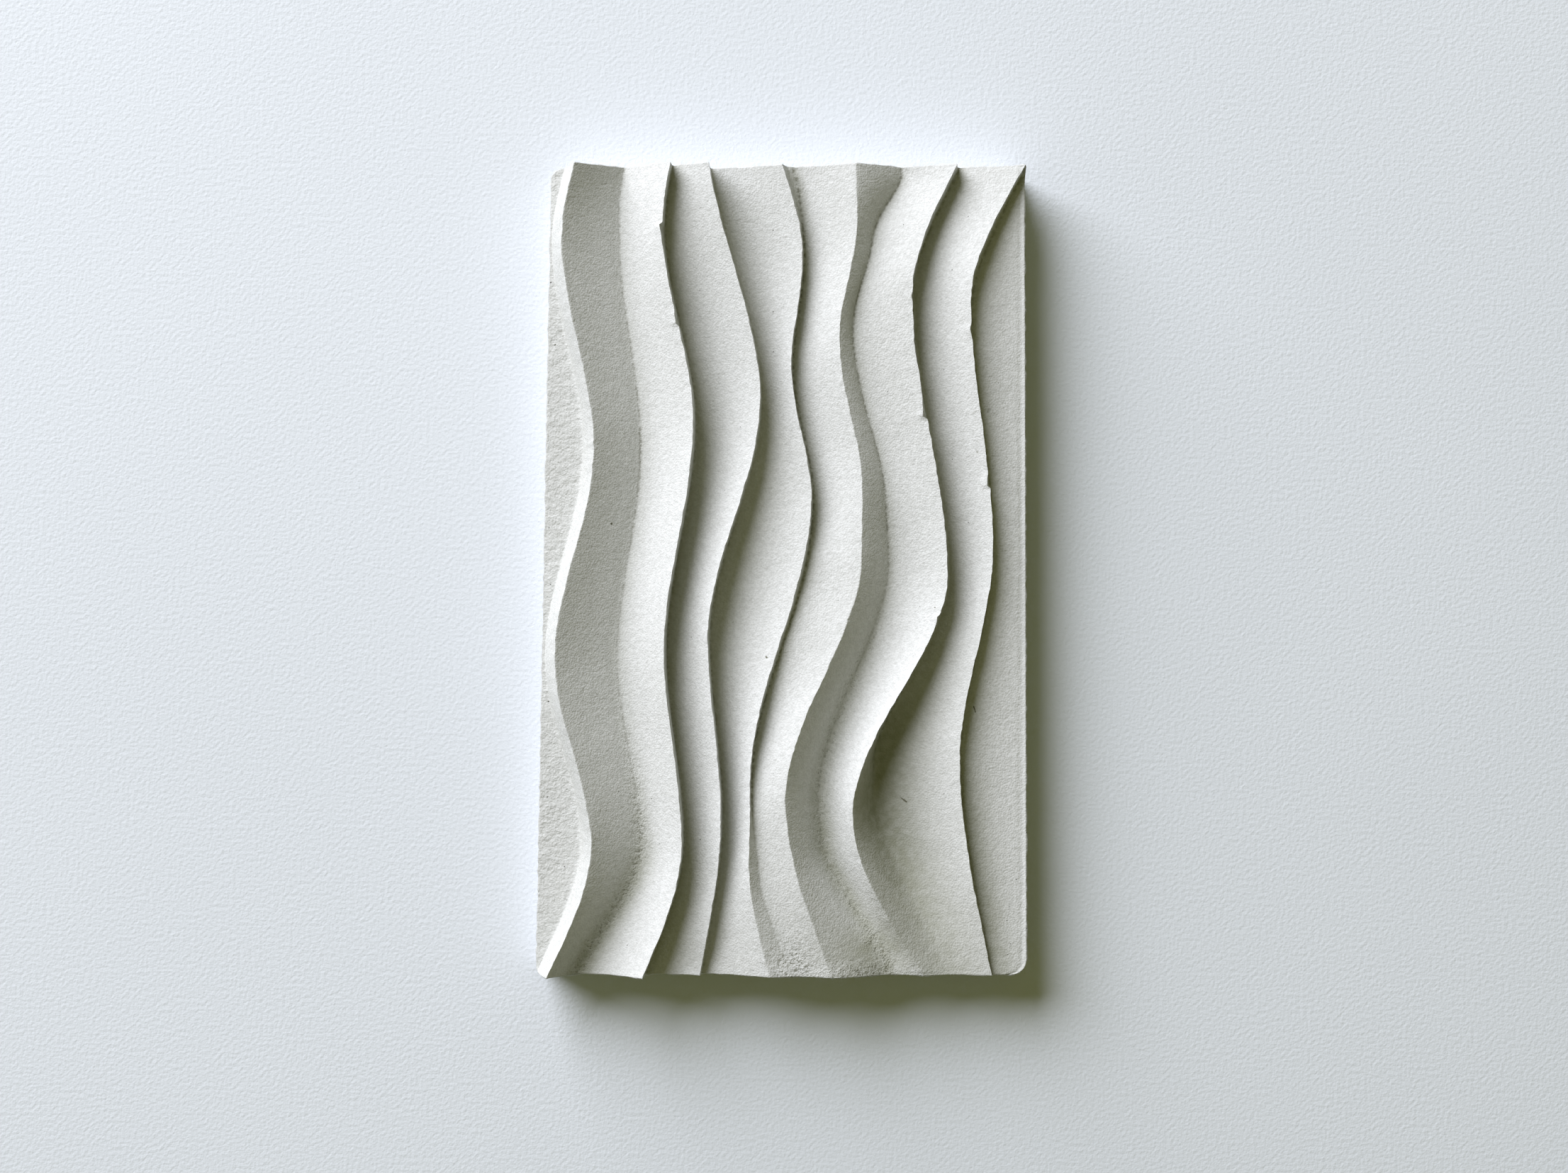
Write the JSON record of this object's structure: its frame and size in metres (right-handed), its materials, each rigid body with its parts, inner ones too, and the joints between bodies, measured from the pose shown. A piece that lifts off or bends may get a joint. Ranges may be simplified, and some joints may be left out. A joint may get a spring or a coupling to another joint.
{
  "type": "relief wall panel",
  "caption": "Cast stone wall panel with a flat back and a face of wavy, sharp-crested ridges that climb gently on one side and drop steeply on the other.",
  "frame": {"origin": "middle of the back face, which lies on the floor", "axes": "+X across the face from its left to its right, +Y up the face as it is fixed to a wall, +Z out of the face"},
  "size_m": [0.3049, 0.5, 0.053],
  "materials": {
    "cast_stone": "matte"
  },
  "bodies": {
    "root": {"relief_panel": "cast_stone"}
  },
  "joints": []
}
